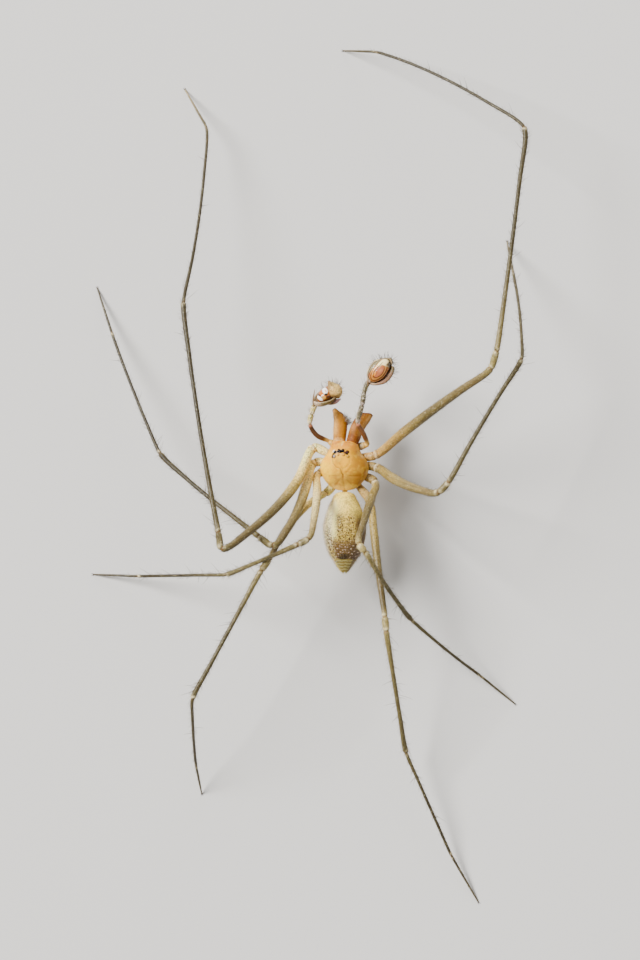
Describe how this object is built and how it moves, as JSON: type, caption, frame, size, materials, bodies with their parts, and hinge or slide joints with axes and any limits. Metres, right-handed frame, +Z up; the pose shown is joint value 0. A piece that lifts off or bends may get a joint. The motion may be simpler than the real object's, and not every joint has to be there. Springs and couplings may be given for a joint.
{
  "type": "male long-legged spider",
  "caption": "Museum-style model of a male spider standing on long thin legs, life size, with jaws and bulbed palps held forward, in a fixed pose.",
  "frame": {"origin": "on the floor under the middle of the leg span", "axes": "+Y towards the spider's front, +X towards its right, +Z up from the floor it stands on"},
  "size_m": [0.01, 0.0196, 0.0041],
  "materials": {
    "shield": "satin",
    "breast": "satin",
    "jaw": "satin",
    "fang": "gloss",
    "eye": "gloss",
    "leg": "satin",
    "palp": "satin",
    "cup": "satin",
    "bulb": "gloss",
    "belly": "matte"
  },
  "bodies": {
    "root": {"abdomen": "belly", "carapace": "shield", "chelicera_left": "jaw", "chelicera_right": "jaw", "cymbium_left": "cup", "cymbium_right": "cup", "eye_front_middle_left": "eye", "eye_front_middle_right": "eye", "eye_front_outer_left": "eye", "eye_front_outer_right": "eye", "eye_rear_middle_left": "eye", "eye_rear_middle_right": "eye", "eye_rear_outer_left": "eye", "eye_rear_outer_right": "eye", "fang_left": "fang", "fang_right": "fang", "leg_left_1_coxa": "leg", "leg_left_1_femur": "leg", "leg_left_1_foot": "leg", "leg_left_1_tibia": "leg", "leg_left_2_coxa": "leg", "leg_left_2_femur": "leg", "leg_left_2_foot": "leg", "leg_left_2_tibia": "leg", "leg_left_3_coxa": "leg", "leg_left_3_femur": "leg", "leg_left_3_foot": "leg", "leg_left_3_tibia": "leg", "leg_left_4_coxa": "leg", "leg_left_4_femur": "leg", "leg_left_4_foot": "leg", "leg_left_4_tibia": "leg", "leg_right_1_coxa": "leg", "leg_right_1_femur": "leg", "leg_right_1_foot": "leg", "leg_right_1_tibia": "leg", "leg_right_2_coxa": "leg", "leg_right_2_femur": "leg", "leg_right_2_foot": "leg", "leg_right_2_tibia": "leg", "leg_right_3_coxa": "leg", "leg_right_3_femur": "leg", "leg_right_3_foot": "leg", "leg_right_3_tibia": "leg", "leg_right_4_coxa": "leg", "leg_right_4_femur": "leg", "leg_right_4_foot": "leg", "leg_right_4_tibia": "leg", "palp_bulb_left": "bulb", "palp_bulb_right": "bulb", "palp_coxa_left": "breast", "palp_coxa_right": "breast", "palp_femur_left": "palp", "palp_femur_right": "palp", "palp_tibia_left": "palp", "palp_tibia_right": "palp", "pedicel": "breast", "spinnerets": "belly", "sternum": "breast"}
  },
  "joints": []
}
